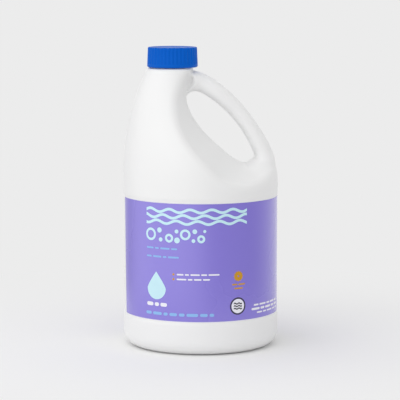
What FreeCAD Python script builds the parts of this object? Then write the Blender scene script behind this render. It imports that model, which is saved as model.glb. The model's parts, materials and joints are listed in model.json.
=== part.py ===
import FreeCAD, Part
import math
import os

# Round jug with a grip handle and a ribbed screw cap, built standing on z = 0.
# X points to the handle, the front of the label faces -Y. All sizes are in mm.

# Body
BODY_R = 67.5
WALL = 0.9
BASE_FILLET = 12.0
PUSH_UP = 6.0
CONTACT_WIDTH = 7.5
PANEL_LOW = 28.5
PANEL_HIGH = 132.2
PANEL_DEPTH = 0.55
PANEL_RAMP = 1.8
SHOULDER_GAP = 3.9
SHOULDER_HEIGHT = 105.7

# Finger recess and its soft edge
RECESS_SLOPE = 0.30
RIDGE_ROUND = 12.0
SOFT_EDGE = 8.0

# Handle
HANDLE_HALF_THICK = 7.1
HANDLE_HALF_WIDTH = 11.8
HANDLE_SQUARENESS = 2.4
HANDLE_POINTS = 8

# Neck
NECK_X = -24.3
NECK_ROOT_R = 17.6
NECK_WALL = 2.0
NECK_HEIGHT = 15.3
NECK_LEDGE = 4.0
NECK_BURIED = 6.0
LIP_CHAMFER = 0.6

# Cap
CAP_HEIGHT = 17.3
CAP_TOP_T = 1.6
CAP_WALL = 2.7
CAP_DRAFT = 0.7
CAP_EDGE = 0.9
CAP_LEAD_IN = 0.4
THREAD_ROOM = 1.7
RIB_COUNT = 40
RIB_DEPTH = 0.55
RIB_WIDTH = 1.1
BAND_HEIGHT = 2.6
LINER_T = 1.0
LINER_GAP = 0.35
BEAD_HOLD = 0.35
BEAD_HEIGHT = 1.0

# Label and contents
LABEL_MARGIN = 1.5
LABEL_T = 0.15
LABEL_GLUE = 0.02
LABEL_GAP = 33.4
LABEL_SLANT = 4.2
FILL_Z = 205.0
FILL_CLEAR = 0.3
FILL_SLACK = 3.0

# Where the one-piece jug is cut into simple nodes, and the room round its grip
BODY_CUT_GAP = 1.9
NECK_CUT_GAP = 0.5
GRIP_TOP = (0.265, 0.661)
GRIP_FOOT = (0.711, 0.273)
GRIP_SPAN = 45.0

# Worked out from the sizes above
SIDE_TOP = PANEL_HIGH + SHOULDER_GAP
LEDGE_Z = SIDE_TOP + SHOULDER_HEIGHT
LIP_Z = LEDGE_Z + NECK_HEIGHT
SHOULDER_END_R = NECK_ROOT_R + NECK_LEDGE
CONTACT_IN_R = BODY_R - BASE_FILLET - CONTACT_WIDTH
CAP_BORE_R = NECK_ROOT_R + THREAD_ROOM
CAP_FOOT_R = CAP_BORE_R + CAP_WALL
CAP_TOP_R = CAP_FOOT_R - CAP_DRAFT

# Shoulder rings as shares: of its height, of the way its radius goes from
# the neck ledge out to the body, of the way its centre goes to the neck
SHOULDER = [
    (0.000, 1.000, 0.000),
    (0.071, 1.000, 0.000),
    (0.203, 0.976, 0.041),
    (0.402, 0.837, 0.235),
    (0.610, 0.532, 0.630),
    (0.818, 0.214, 0.955),
    (1.000, 0.000, 1.000),
]

# Recess ridge in the mid plane, from the neck down past the handle foot,
# as shares of the way from neck axis to body side and of shoulder height
RIDGE = [
    (0.270, 1.100),
    (0.162, 0.932),
    (0.132, 0.743),
    (0.230, 0.544),
    (0.460, 0.336),
    (0.679, 0.215),
    (0.777, 0.209),
    (0.886, 0.241),
    (1.202, 0.402),
]

# Handle stations: shares as above, then factors of its thickness and width
HANDLE = [
    (0.063, 0.879, 1.72, 1.60),
    (0.188, 0.886, 1.35, 1.10),
    (0.363, 0.833, 1.08, 0.97),
    (0.571, 0.681, 1.00, 0.95),
    (0.751, 0.480, 1.01, 1.00),
    (0.855, 0.302, 1.13, 1.12),
    (0.868, 0.256, 1.27, 1.26),
    (0.862, 0.219, 1.54, 1.56),
    (0.844, 0.175, 1.83, 2.05),
    (0.820, 0.099, 2.08, 2.60),
]


def vec(x, y, z):
    return FreeCAD.Vector(x, y, z)


def place(across, up):
    """x and z of a point given as shares of the shoulder's span and height."""
    x = NECK_X + across * (BODY_R - NECK_X)
    return x, SIDE_TOP + up * SHOULDER_HEIGHT


def wire_of(points):
    return Part.makePolygon([vec(*p) for p in points])


def ring_profile(inset):
    """Half profile of the lower body, pulled in by inset."""
    r = BODY_R - inset
    rp = BODY_R - PANEL_DEPTH - inset
    f = BASE_FILLET - inset
    c = BODY_R - BASE_FILLET
    a = math.sqrt(0.5)
    edges = []
    centre = vec(0, 0, PUSH_UP + inset)
    heel = vec(CONTACT_IN_R, 0, inset)
    edges.append(Part.makeLine(centre, heel))
    toe = vec(c, 0, inset)
    edges.append(Part.makeLine(heel, toe))
    knee = vec(c + f * a, 0, BASE_FILLET - f * a)
    side = vec(c + f, 0, BASE_FILLET)
    edges.append(Part.Arc(toe, knee, side).toShape())
    low = vec(r, 0, PANEL_LOW - PANEL_RAMP)
    edges.append(Part.makeLine(side, low))
    p1 = vec(rp, 0, PANEL_LOW)
    edges.append(Part.makeLine(low, p1))
    p2 = vec(rp, 0, PANEL_HIGH)
    edges.append(Part.makeLine(p1, p2))
    p3 = vec(r, 0, PANEL_HIGH + PANEL_RAMP)
    edges.append(Part.makeLine(p2, p3))
    p4 = vec(r, 0, SIDE_TOP)
    edges.append(Part.makeLine(p3, p4))
    p5 = vec(0, 0, SIDE_TOP)
    edges.append(Part.makeLine(p4, p5))
    edges.append(Part.makeLine(p5, centre))
    return Part.Wire(edges)


def lower_body(inset):
    face = Part.Face(ring_profile(inset))
    return face.revolve(vec(0, 0, 0), vec(0, 0, 1), 360)


def shoulder(inset, ruled):
    """Dome from the round body up to the neck ledge, pulled in by inset."""
    rings = []
    for up, spread, shift in SHOULDER:
        radius = SHOULDER_END_R + spread * (BODY_R - SHOULDER_END_R)
        centre = vec(shift * NECK_X, 0, SIDE_TOP + up * SHOULDER_HEIGHT)
        circle = Part.makeCircle(radius - inset, centre)
        circle.rotate(centre, vec(0, 0, 1), 180)
        rings.append(Part.Wire([circle]))
    return Part.makeLoft(rings, True, ruled)


def ridge_section(y, inset):
    """Outline of the finger recess at one depth y."""
    d = RECESS_SLOPE * (math.hypot(y, RIDGE_ROUND) - RIDGE_ROUND) + inset
    ridge = [place(across, up) for across, up in RIDGE]
    pts = []
    steps = [0.0]
    for i, (x, z) in enumerate(ridge):
        ax, az = ridge[max(i - 1, 0)]
        bx, bz = ridge[min(i + 1, len(ridge) - 1)]
        length = math.hypot(bx - ax, bz - az)
        nx = (bz - az) / length
        nz = (ax - bx) / length
        pts.append(vec(x + nx * d, y, z + nz * d))
        if i:
            steps.append(steps[-1] + math.hypot(x - ax, z - az))
    curve = Part.BSplineCurve()
    curve.interpolate(Points=pts, Parameters=steps)
    side = BODY_R * 2
    top = LIP_Z + BODY_R
    last = vec(side, y, pts[-1].z)
    far = vec(side, y, top)
    first = vec(pts[0].x, y, top)
    edges = [curve.toShape()]
    edges.append(Part.makeLine(pts[-1], last))
    edges.append(Part.makeLine(last, far))
    edges.append(Part.makeLine(far, first))
    edges.append(Part.makeLine(first, pts[0]))
    return Part.Wire(edges)


def recess_tool(inset):
    """Space that the finger recess takes out of the dome."""
    wires = []
    for share in (-1.3, -0.75, -0.3, 0, 0.3, 0.75, 1.3):
        wires.append(ridge_section(share * BODY_R, inset))
    return Part.makeLoft(wires, True, False)


def handle(inset):
    """Grip bar as a loft of rounded sections along its path."""
    wires = []
    path = [place(across, up) for across, up, _, _ in HANDLE]
    for i, (x, z) in enumerate(path):
        half = HANDLE_HALF_THICK * HANDLE[i][2] - inset
        wide = HANDLE_HALF_WIDTH * HANDLE[i][3] - inset
        ax, az = path[max(i - 1, 0)]
        bx, bz = path[min(i + 1, len(path) - 1)]
        length = math.hypot(bx - ax, bz - az)
        nx = (az - bz) / length
        nz = (bx - ax) / length
        pts = []
        for k in range(HANDLE_POINTS):
            t = 2 * math.pi * k / HANDLE_POINTS
            e = 2 / HANDLE_SQUARENESS
            u = math.copysign(abs(math.cos(t)) ** e, math.cos(t)) * half
            v = math.copysign(abs(math.sin(t)) ** e, math.sin(t)) * wide
            pts.append(vec(x + nx * u, v, z + nz * u))
        steps = [float(k) for k in range(HANDLE_POINTS + 1)]
        curve = Part.BSplineCurve()
        curve.interpolate(Points=pts, PeriodicFlag=True, Parameters=steps)
        wires.append(Part.Wire([curve.toShape()]))
    return Part.makeLoft(wires, True, False)


def rounded_edge(solid):
    """Long edge between the dome and the finger recess."""
    found = []
    for edge in solid.Edges:
        box = edge.BoundBox
        if box.ZLength > SHOULDER_HEIGHT / 2 and box.YLength > BODY_R * 0.8:
            found.append(edge)
    return found


def closed_form(inset):
    """Form of the jug below its neck, pulled in by inset."""
    dome = shoulder(inset, False).cut(recess_tool(inset)).Solids[0]
    dome = dome.makeFillet(SOFT_EDGE, rounded_edge(dome)).Solids[0]
    form = dome.fuse(handle(inset)).Solids[0]
    return form.fuse(lower_body(inset)).Solids[0]


def lathe(points):
    """Ring turned about the z axis from a closed outline of r, z pairs."""
    outline = [(r, 0, z) for r, z in points]
    outline.append(outline[0])
    face = Part.Face(wire_of(outline))
    return face.revolve(vec(0, 0, 0), vec(0, 0, 1), 360)


def half_space(z_top):
    size = BODY_R * 4
    return Part.makeBox(size, size, z_top + size, vec(-size / 2, -size / 2, -size))


def make_bottle():
    """Blown jug with its hollow handle and open neck."""
    low = LEDGE_Z - NECK_BURIED
    neck = lathe([
        (0, low),
        (NECK_ROOT_R, low),
        (NECK_ROOT_R, LIP_Z - LIP_CHAMFER),
        (NECK_ROOT_R - LIP_CHAMFER, LIP_Z),
        (0, LIP_Z),
    ])
    neck.translate(vec(NECK_X, 0, 0))
    bore_r = NECK_ROOT_R - NECK_WALL
    bore = Part.makeCylinder(bore_r, LIP_Z - low + 1, vec(NECK_X, 0, low))
    room = closed_form(WALL).common(half_space(LEDGE_Z - WALL)).fuse(bore)
    return closed_form(0.0).fuse(neck).cut(room).Solids[0]


def grip_room():
    """Space that holds the free part of the handle and nothing else."""
    top_x, top_z = place(*GRIP_TOP)
    foot_x, foot_z = place(*GRIP_FOOT)
    side = BODY_R * 2
    outline = wire_of([
        (top_x, -GRIP_SPAN, top_z),
        (top_x, -GRIP_SPAN, LIP_Z),
        (side, -GRIP_SPAN, LIP_Z),
        (side, -GRIP_SPAN, foot_z),
        (foot_x, -GRIP_SPAN, foot_z),
        (top_x, -GRIP_SPAN, top_z),
    ])
    return Part.Face(outline).extrude(vec(0, GRIP_SPAN * 2, 0))


def split_jug(jug):
    """Cut the jug into body, shoulder, handle and neck, which don't overlap."""
    below_body_cut = half_space(SIDE_TOP + BODY_CUT_GAP)
    below_neck_cut = half_space(LEDGE_Z + NECK_CUT_GAP)
    upper = jug.cut(below_body_cut)
    top = upper.common(below_neck_cut)
    return {
        "bottle": jug.common(below_body_cut),
        "neck": upper.cut(below_neck_cut),
        "handle": top.common(grip_room()),
        "shoulder": top.cut(grip_room()),
    }


def make_label():
    """Printed wrap that leaves a bare slanted strip on the pouring side."""
    r = BODY_R - PANEL_DEPTH + LABEL_GLUE
    low = PANEL_LOW + LABEL_MARGIN
    high = PANEL_HIGH - LABEL_MARGIN
    film = lathe([
        (r, low),
        (r + LABEL_T, low),
        (r + LABEL_T, high),
        (r, high),
    ])
    near = -BODY_R * 1.2
    half = LABEL_GAP / 2
    lean = LABEL_SLANT / 2
    gap = wire_of([
        (near, -half - lean, low - 1),
        (near, half - lean, low - 1),
        (near, half + lean, high + 1),
        (near, -half + lean, high + 1),
        (near, -half - lean, low - 1),
    ])
    strip = Part.Face(gap).extrude(vec(BODY_R * 0.6, 0, 0))
    return film.cut(strip)


def make_cap():
    """Ribbed screw cap with a bead that holds the liner."""
    foot = LIP_Z + LINER_T + CAP_TOP_T - CAP_HEIGHT
    top = foot + CAP_HEIGHT
    roof = top - CAP_TOP_T
    body = lathe([
        (0, top),
        (0, foot),
        (CAP_FOOT_R - CAP_EDGE, foot),
        (CAP_FOOT_R, foot + CAP_EDGE),
        (CAP_TOP_R, top - CAP_EDGE),
        (CAP_TOP_R - CAP_EDGE * 0.3, top - CAP_EDGE * 0.3),
        (CAP_TOP_R - CAP_EDGE, top),
    ])
    z0 = foot + BAND_HEIGHT
    z1 = top - CAP_EDGE * 0.5
    slope = (CAP_TOP_R - CAP_FOOT_R) / CAP_HEIGHT
    r0 = CAP_FOOT_R + slope * BAND_HEIGHT
    notch = wire_of([
        (r0 - RIB_DEPTH, 0, z0),
        (r0 + RIB_DEPTH, -RIB_WIDTH, z0),
        (r0 + RIB_DEPTH, RIB_WIDTH, z0),
        (r0 - RIB_DEPTH, 0, z0),
    ])
    groove = Part.Face(notch).extrude(vec(slope * (z1 - z0), 0, z1 - z0))
    grooves = []
    for i in range(RIB_COUNT):
        copy = groove.copy()
        copy.rotate(vec(0, 0, 0), vec(0, 0, 1), 360 * (i + 0.5) / RIB_COUNT)
        grooves.append(copy)
    body = body.cut(Part.makeCompound(grooves))
    bead_r = CAP_BORE_R - LINER_GAP - BEAD_HOLD
    hollow = lathe([
        (0, foot - 1),
        (CAP_BORE_R + CAP_LEAD_IN, foot - 1),
        (CAP_BORE_R + CAP_LEAD_IN, foot),
        (CAP_BORE_R, foot + CAP_LEAD_IN),
        (CAP_BORE_R, LIP_Z - BEAD_HEIGHT),
        (bead_r, LIP_Z - BEAD_HEIGHT / 2),
        (CAP_BORE_R, LIP_Z),
        (CAP_BORE_R, roof),
        (0, roof),
    ])
    body = body.cut(hollow).Solids[0]
    body.translate(vec(NECK_X, 0, 0))
    return body


def make_liner():
    """Foam seal disc between the lip and the cap."""
    radius = CAP_BORE_R - LINER_GAP
    return Part.makeCylinder(radius, LINER_T, vec(NECK_X, 0, LIP_Z))


def make_bleach():
    """Liquid filling, clear of the inner wall and of its rounded edges."""
    gap = WALL + FILL_CLEAR
    slack = gap + FILL_SLACK
    top = shoulder(slack, True).cut(recess_tool(slack))
    r = BODY_R - PANEL_DEPTH - gap
    rise = BASE_FILLET * (1 - math.sqrt(0.5))
    lower = lathe([
        (0, PUSH_UP + gap),
        (CONTACT_IN_R, gap),
        (BODY_R - BASE_FILLET, gap),
        (BODY_R - gap - rise, rise + gap),
        (r, BASE_FILLET + gap),
        (r, SIDE_TOP),
        (0, SIDE_TOP),
    ])
    return lower.fuse(top).common(half_space(FILL_Z)).Solids[0]


def main():
    os.makedirs("parts", exist_ok=True)
    shapes = split_jug(make_bottle())
    shapes["label"] = make_label()
    shapes["cap"] = make_cap()
    shapes["liner"] = make_liner()
    shapes["bleach"] = make_bleach()
    for name, shape in shapes.items():
        shape.exportStep("parts/" + name + ".step")


main()
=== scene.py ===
import json
import logging
import math
from dataclasses import dataclass, field
from enum import Enum
from typing import Any, Callable

import bmesh
import bpy
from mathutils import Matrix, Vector

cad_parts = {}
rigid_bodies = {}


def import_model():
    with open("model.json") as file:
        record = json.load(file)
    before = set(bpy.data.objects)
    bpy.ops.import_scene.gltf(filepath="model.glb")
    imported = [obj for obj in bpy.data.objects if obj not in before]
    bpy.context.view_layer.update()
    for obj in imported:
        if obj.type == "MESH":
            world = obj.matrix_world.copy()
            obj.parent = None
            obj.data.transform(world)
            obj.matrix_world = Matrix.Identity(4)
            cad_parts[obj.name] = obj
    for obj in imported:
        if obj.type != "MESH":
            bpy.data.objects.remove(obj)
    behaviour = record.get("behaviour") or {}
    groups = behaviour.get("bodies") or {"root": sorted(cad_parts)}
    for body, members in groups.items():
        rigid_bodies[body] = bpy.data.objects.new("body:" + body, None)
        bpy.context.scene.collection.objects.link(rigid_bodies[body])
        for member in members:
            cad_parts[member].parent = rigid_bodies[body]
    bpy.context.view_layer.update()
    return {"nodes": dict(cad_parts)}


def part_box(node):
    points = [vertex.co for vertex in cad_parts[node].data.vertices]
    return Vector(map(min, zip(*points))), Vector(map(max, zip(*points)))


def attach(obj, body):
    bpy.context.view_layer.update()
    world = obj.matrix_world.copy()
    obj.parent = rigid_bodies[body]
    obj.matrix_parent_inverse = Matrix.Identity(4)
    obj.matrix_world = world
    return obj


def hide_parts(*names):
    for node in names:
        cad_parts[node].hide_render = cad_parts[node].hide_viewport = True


Piece = bpy.types.Object
Tree = bpy.types.NodeTree
Node = bpy.types.Node
Socket = bpy.types.NodeSocket
Material = bpy.types.Material
Triple = tuple[float, float, float]
Outline = list[tuple[float, float]]

MM = 0.001
FULL_TURN = 2 * math.pi
LEAD = 4.233 * MM
THREAD_TURNS = 2
THREAD_STEPS = 72
THREAD_DROP = 2.8 * MM
MERGE = 0.0005 * MM
LATHE_MERGE = 0.002 * MM
SAME_PLANE = 0.004 * MM
NEAR = 0.01 * MM
FILM_T = 0.15 * MM
PANEL_MARGIN = 1.5 * MM
PANEL_SINK = 0.55 * MM
CAP_TAPER = 0.7 * MM
WHITE = (1.0, 1.0, 1.0, 1.0)
LOG = logging.getLogger("bleach_jug")


class Pick(Enum):
    """What an edit mode selection is made of."""

    VERTS = "VERT"
    EDGES = "EDGE"
    FACES = "FACE"


def linear(colour: Triple) -> tuple[float, float, float, float]:
    """Turn a screen colour into the linear colour a shader takes.

    Args:
        colour: Its red, green and blue, from 0 to 255.

    Returns:
        The linear colour with full opacity.
    """
    out = []
    for level in colour:
        part = level / 255
        out.append(part / 12.92 if part <= 0.04045 else ((part + 0.055) / 1.055) ** 2.4)
    return out[0], out[1], out[2], 1.0


def blend_step(low: float, high: float, value: float) -> float:
    """Rise smoothly from 0 at low to 1 at high, and say how far the rise is at value."""
    t = min(1.0, max(0.0, (value - low) / (high - low)))
    return t * t * (3 - 2 * t)


def in_mm(radius: float, height: float, pairs: Outline) -> Outline:
    """Set rings off from a radius and a height in metres by pairs of mm, outward and upward."""
    return [(radius + out * MM, height + up * MM) for out, up in pairs]


def leave() -> None:
    """Go back to object mode."""
    bpy.ops.object.mode_set(mode="OBJECT")


def activate(piece: Piece) -> None:
    """Leave edit mode and make one object the only selected, active one.

    Args:
        piece: The object to work on.
    """
    if bpy.context.object and bpy.context.object.mode != "OBJECT":
        leave()
    bpy.ops.object.select_all(action="DESELECT")
    piece.select_set(True)
    bpy.context.view_layer.objects.active = piece


def take_whole() -> None:
    """Select the whole mesh in edit mode."""
    bpy.ops.mesh.select_all(action="SELECT")


def edit(piece: Piece, kind: Pick = Pick.VERTS, whole: bool = False) -> None:
    """Enter edit mode.

    Args:
        piece: The mesh to edit.
        kind: The select mode.
        whole: Whether everything is selected, instead of nothing.
    """
    activate(piece)
    bpy.ops.object.mode_set(mode="EDIT")
    bpy.ops.mesh.select_mode(type=kind.value)
    bpy.ops.mesh.select_all(action="DESELECT")
    if whole:
        take_whole()


def pick(piece: Piece, kind: Pick, test: Callable[[Any], bool]) -> int:
    """Select the elements that pass a test, and nothing else.

    Args:
        piece: The mesh, in edit mode.
        kind: Vertices, edges or faces.
        test: Says whether an element is wanted.

    Returns:
        How many elements were selected.
    """
    bpy.ops.mesh.select_mode(type=kind.value)
    bpy.ops.mesh.select_all(action="DESELECT")
    mesh = bmesh.from_edit_mesh(piece.data)
    elements = {Pick.VERTS: mesh.verts, Pick.EDGES: mesh.edges, Pick.FACES: mesh.faces}[kind]
    wanted = [element for element in elements if test(element)]
    for element in wanted:
        element.select_set(True)
    mesh.select_flush_mode()
    bmesh.update_edit_mesh(piece.data)
    return len(wanted)


def pick_verts(piece: Piece, test: Callable[[Vector], bool]) -> int:
    """Select the vertices whose place passes a test, and say how many they are."""
    return pick(piece, Pick.VERTS, lambda vert: test(vert.co))


def pick_rim(piece: Piece, low: float, high: float,
             test: Callable[[Vector], bool] = lambda place: True) -> int:
    """Select the open edges between two heights whose ends pass a test, and say how many they are."""
    return pick(piece, Pick.EDGES, lambda edge: edge.is_boundary and all(
        low <= vert.co.z <= high and test(vert.co) for vert in edge.verts))


def extrude(step: Triple) -> None:
    """Extrude what is selected by a step."""
    bpy.ops.mesh.extrude_region_move(TRANSFORM_OT_translate={"value": step})


def move(step: Triple) -> None:
    """Move what is selected by a step."""
    bpy.ops.transform.translate(value=step)


def scale_about(scale: Triple, centre: Triple) -> None:
    """Scale what is selected about a point."""
    bpy.ops.transform.resize(value=scale, center_override=centre)


def put(name: str, data: bpy.types.ID) -> Piece:
    """Make an object of its data and link it to the scene.

    Args:
        name: The new object's name.
        data: Its mesh, camera or lamp.

    Returns:
        The object.
    """
    made = bpy.data.objects.new(name, data)
    bpy.context.scene.collection.objects.link(made)
    return made


def add(operator: Callable, **settings: Any) -> Piece:
    """Add one of Blender's basic meshes.

    Args:
        operator: The operator that adds it.
        settings: The operator's settings. Without a location it is made at the origin.

    Returns:
        The new object, alone in the selection.
    """
    bpy.ops.object.select_all(action="DESELECT")
    operator(**{"location": (0, 0, 0), **settings})
    return bpy.context.object


def modify(piece: Piece, name: str, kind: str, **settings: Any) -> None:
    """Add a modifier.

    Args:
        piece: The mesh that it works on.
        name: Its name.
        kind: Its type.
        settings: Its properties by name.
    """
    made = piece.modifiers.new(name, kind)
    for setting, value in settings.items():
        setattr(made, setting, value)


def finish_modifiers(piece: Piece) -> None:
    """Apply every modifier of a piece, in order.

    Args:
        piece: The object whose modifiers are made final.
    """
    activate(piece)
    for name in [modifier.name for modifier in piece.modifiers]:
        bpy.ops.object.modifier_apply(modifier=name)


def weigh(piece: Piece, name: str, weight: Callable[[Vector], float], least: float = 0.0) -> None:
    """Make a vertex group with weights by place.

    Args:
        piece: The mesh.
        name: The group's name.
        weight: Gives the weight of a point, from 0 to 1.
        least: Weights up to this are left out.
    """
    group = piece.vertex_groups.new(name=name)
    for vert in piece.data.vertices:
        share = weight(vert.co)
        if share > least:
            group.add([vert.index], share, "REPLACE")


def freeze(piece: Piece) -> None:
    """Put the piece's place, turn and scale into its mesh."""
    activate(piece)
    bpy.ops.object.transform_apply(location=True, rotation=True, scale=True)


def face_outward(piece: Piece, merge: float = MERGE) -> None:
    """Merge doubles and turn all faces outward.

    Args:
        piece: The mesh to clean.
        merge: Largest distance of two vertices that are the same.
    """
    edit(piece, whole=True)
    bpy.ops.mesh.remove_doubles(threshold=merge)
    bpy.ops.mesh.normals_make_consistent(inside=False)
    leave()


def join(pieces: list[Piece], name: str) -> Piece:
    """Join meshes into the first one.

    Args:
        pieces: The objects to join.
        name: The name of the result.

    Returns:
        The joined object.
    """
    activate(pieces[0])
    for piece in pieces[1:]:
        piece.select_set(True)
    if len(pieces) > 1:
        bpy.ops.object.join()
    pieces[0].name = name
    pieces[0].data.name = name
    return pieces[0]


def trace(name: str, points: list[Triple], closed: bool = False) -> Piece:
    """Draw a line of edges by extruding one vertex from point to point.

    Args:
        name: The new object's name.
        points: The corners of the line, in metres.
        closed: Whether the last point joins the first.

    Returns:
        The mesh object that holds the line.
    """
    line = add(bpy.ops.mesh.primitive_plane_add, size=MM)
    line.name = name
    edit(line, whole=True)
    bpy.ops.mesh.merge(type="CENTER")
    move(points[0])
    for start, end in zip(points, points[1:]):
        extrude(tuple(b - a for a, b in zip(start, end)))
    if closed:
        take_whole()
        bpy.ops.mesh.edge_face_add()
        bpy.ops.mesh.delete(type="ONLY_FACE")
    leave()
    return line


def lathe(name: str, outline: Outline, centre_x: float, steps: int) -> Piece:
    """Turn an outline about an upright axis.

    Args:
        name: The new object's name.
        outline: Pairs of radius and height in metres.
        centre_x: Where the axis stands on X.
        steps: Facets round the axis.

    Returns:
        The turned mesh, facing outward.
    """
    piece = trace(name, [(centre_x + r, 0, z) for r, z in outline])
    edit(piece, whole=True)
    bpy.ops.mesh.spin(steps=steps, angle=FULL_TURN, center=(centre_x, 0, 0), axis=(0, 0, 1))
    leave()
    face_outward(piece, LATHE_MERGE)
    return piece


def helix(name: str, radii: tuple[float, float], halves: tuple[float, float], start: tuple[float, float],
          sink: float) -> Piece:
    """Wind a screw thread with sunk ends.

    Args:
        name: The new object's name.
        radii: Radius of the thread's root and of its crest.
        halves: Half the thread's width at root and crest.
        start: Where the axis stands on X, and the height at which the thread begins.
        sink: How far each end is drawn towards its wall, outward if positive.

    Returns:
        The closed thread mesh.
    """
    (root, crest), (wide, narrow) = radii, halves
    section = [(root, 0, -wide), (crest, 0, -narrow), (crest, 0, narrow), (root, 0, wide)]
    piece = trace(name, section, closed=True)
    modify(piece, "wind", "SCREW", axis="Z", angle=FULL_TURN, screw_offset=LEAD, iterations=THREAD_TURNS,
           steps=THREAD_STEPS, render_steps=THREAD_STEPS)
    finish_modifiers(piece)
    edit(piece)
    for height in (0.0, LEAD * THREAD_TURNS):
        if pick_rim(piece, height - LEAD / 2, height + LEAD / 2):
            bpy.ops.mesh.edge_face_add()
            move((sink, 0, 0))
    take_whole()
    move((start[0], 0, start[1]))
    leave()
    face_outward(piece)
    return piece


def smooth_by_angle(piece: Piece, degrees: float) -> None:
    """Shade a piece smooth, except at corners sharper than an angle."""
    activate(piece)
    bpy.ops.object.shade_smooth_by_angle(angle=math.radians(degrees))


def wear(piece: Piece, material: Material) -> None:
    """Give a piece its only material, and log it.

    Args:
        piece: The object.
        material: What it wears.
    """
    piece.data.materials.clear()
    piece.data.materials.append(material)
    LOG.info("%s: %d faces in %s", piece.name, len(piece.data.polygons), material.name)


def dress(piece: Piece, material: Material, body: str) -> None:
    """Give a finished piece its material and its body.

    Args:
        piece: The finished object.
        material: The material it wears.
        body: The moving body that carries it.
    """
    wear(piece, material)
    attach(piece, body)


def feed(tree: Tree, node: Node, feeds: dict[Any, Any]) -> None:
    """Set or link the inputs of a node.

    Args:
        tree: The tree that it is in.
        node: The node.
        feeds: What goes in, by the input's name or number: a value, a socket, or a node for its first output.
    """
    for name, value in feeds.items():
        if isinstance(value, Node):
            value = value.outputs[0]
        if isinstance(value, Socket):
            tree.links.new(value, node.inputs[name])
        else:
            node.inputs[name].default_value = value


def wire(tree: Tree, kind: str, feeds: dict[Any, Any] | None = None, **settings: Any) -> Node:
    """Add a node to a tree.

    Args:
        tree: The tree.
        kind: The node's type.
        feeds: What goes into its inputs, as feed takes it.
        settings: Its properties by name.

    Returns:
        The node.
    """
    node = tree.nodes.new(kind)
    for setting, value in settings.items():
        setattr(node, setting, value)
    feed(tree, node, feeds or {})
    return node


class ShaderKit:
    """Node groups that several materials share."""

    def __init__(self) -> None:
        """Build the groups once."""
        self.grain = self._grain()
        self.mould_line = self._mould_line()
        # The edge group is a painted highlight: it lightens sharp outer edges as if light caught them.
        self.edge = self._painted_highlight_mask()

    @staticmethod
    def _begin(name: str, inputs: dict[str, float], outputs: list[str]) -> tuple:
        """Make an empty group with number sockets and a vector input.

        Args:
            name: The group's name.
            inputs: Its number inputs, with their default values.
            outputs: Names of its number outputs.

        Returns:
            The group, the sockets that come in and its output node.
        """
        group = bpy.data.node_groups.new(name, "ShaderNodeTree")
        group.interface.new_socket(name="Place", in_out="INPUT", socket_type="NodeSocketVector")
        for label, value in inputs.items():
            socket = group.interface.new_socket(name=label, in_out="INPUT", socket_type="NodeSocketFloat")
            socket.default_value = value
        for label in outputs:
            group.interface.new_socket(name=label, in_out="OUTPUT", socket_type="NodeSocketFloat")
        return group, group.nodes.new("NodeGroupInput").outputs, group.nodes.new("NodeGroupOutput")

    def _grain(self) -> Tree:
        """Build the broad and fine variation of a moulded surface.

        Returns:
            A group that puts out Broad and Fine, both near 0.5.
        """
        group, given, outward = self._begin(
            "moulded_grain", {"Broad Scale": 20.0, "Fine Scale": 900.0}, ["Broad", "Fine"])
        for label, detail in (("Broad", 3.0), ("Fine", 2.0)):
            noise = wire(group, "ShaderNodeTexNoise", {
                "Detail": detail, "Vector": given["Place"], "Scale": given[label + " Scale"]})
            feed(group, outward, {label: noise.outputs["Fac"]})
        return group

    def _mould_line(self) -> Tree:
        """Build the fine raised line where two mould halves met, on the XZ plane.

        Returns:
            A group that puts out Line, 1 on the seam and 0 away from it.
        """
        group, given, outward = self._begin("mould_line", {"Half Width": 0.6 * MM}, ["Line"])
        split = wire(group, "ShaderNodeSeparateXYZ", {0: given["Place"]})
        size = wire(group, "ShaderNodeMath", {0: split.outputs["Y"]}, operation="ABSOLUTE")
        fade = wire(group, "ShaderNodeMapRange", {
            "Value": size, "From Max": given["Half Width"], "To Min": 1.0, "To Max": 0.0,
        }, interpolation_type="SMOOTHSTEP")
        feed(group, outward, {"Line": fade})
        return group

    def _painted_highlight_mask(self) -> Tree:
        """Build the mask of a painted highlight: sharp outer edges made paler, as if light caught them.

        Returns:
            A group whose one output is the painted highlight mask, 1 on sharp outer edges.
        """
        group, given, outward = self._begin("rubbed_edge", {"Start": 0.52, "End": 0.60}, ["Rubbed"])
        # Pointiness picks out sharp outer edges for a painted highlight, broken up by noise.
        shape = wire(group, "ShaderNodeNewGeometry")
        fade = wire(group, "ShaderNodeMapRange", {
            "Value": shape.outputs["Pointiness"], "From Min": given["Start"], "From Max": given["End"],
        }, interpolation_type="SMOOTHSTEP")
        patchy = wire(group, "ShaderNodeTexNoise", {"Scale": 300.0, "Vector": given["Place"]})
        times = wire(group, "ShaderNodeMath", {0: fade, 1: patchy.outputs["Fac"]}, operation="MULTIPLY")
        feed(group, outward, {"Rubbed": times})
        return group


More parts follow.
